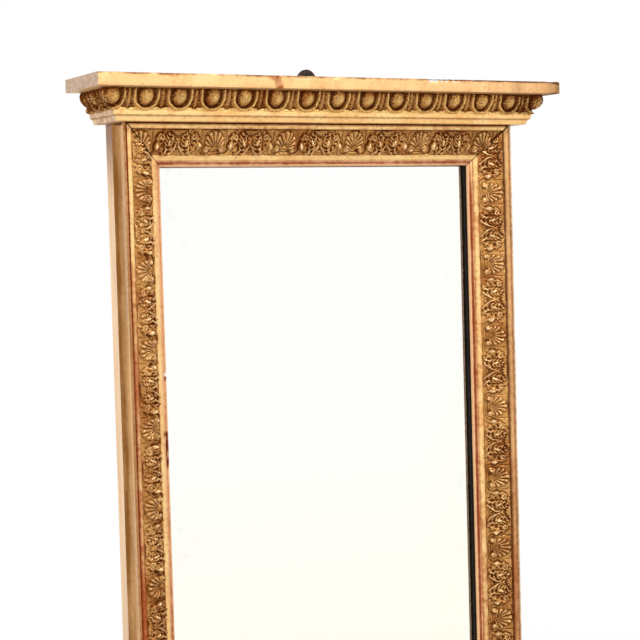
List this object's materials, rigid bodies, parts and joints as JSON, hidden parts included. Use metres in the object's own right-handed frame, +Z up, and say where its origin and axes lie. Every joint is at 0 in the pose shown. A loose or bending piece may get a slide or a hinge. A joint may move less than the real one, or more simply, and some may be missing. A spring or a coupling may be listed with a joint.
{
  "type": "giltwood wall mirror",
  "caption": "Upright rectangular wall mirror in a mitred, gilded and ornamented frame under a projecting egg-and-dart cornice, hung from an iron eye plate.",
  "frame": {"origin": "centre of the hanging eye, on the wall plane", "axes": "+X to the right seen from the front, +Y into the wall, +Z up; the glass faces -Y"},
  "size_m": [0.54, 0.0883, 1.0742],
  "materials": {
    "gilt_wood": "water-gilded over red bole, worn",
    "gilt_composition": "gilded composition, toned brown in the hollows",
    "bare_pine": "bare, aged",
    "silvered_glass": "polished, silvered behind",
    "iron": "forged, dark"
  },
  "bodies": {
    "root": {"back_frame_bottom": "bare_pine", "back_frame_left": "bare_pine", "back_frame_right": "bare_pine", "back_frame_top": "bare_pine", "backboard_1": "bare_pine", "backboard_2": "bare_pine", "backboard_3": "bare_pine", "backboard_nails": "iron", "bed_moulding_front": "gilt_wood", "bed_moulding_left": "gilt_wood", "bed_moulding_right": "gilt_wood", "bottom_rail": "gilt_wood", "cornice_core": "bare_pine", "cornice_slab": "gilt_wood", "egg_moulding_front": "gilt_wood", "egg_moulding_left": "gilt_wood", "egg_moulding_right": "gilt_wood", "glass_blocks": "bare_pine", "hanging_plate": "iron", "hanging_screws": "iron", "left_stile": "gilt_wood", "mirror_glass": "silvered_glass", "ornament_bottom": "gilt_composition", "ornament_left": "gilt_composition", "ornament_right": "gilt_composition", "ornament_top": "gilt_composition", "right_stile": "gilt_wood", "sight_slip_bottom": "gilt_wood", "sight_slip_left": "gilt_wood", "sight_slip_right": "gilt_wood", "sight_slip_top": "gilt_wood", "slab_nails": "iron", "top_rail": "gilt_wood"}
  },
  "joints": []
}
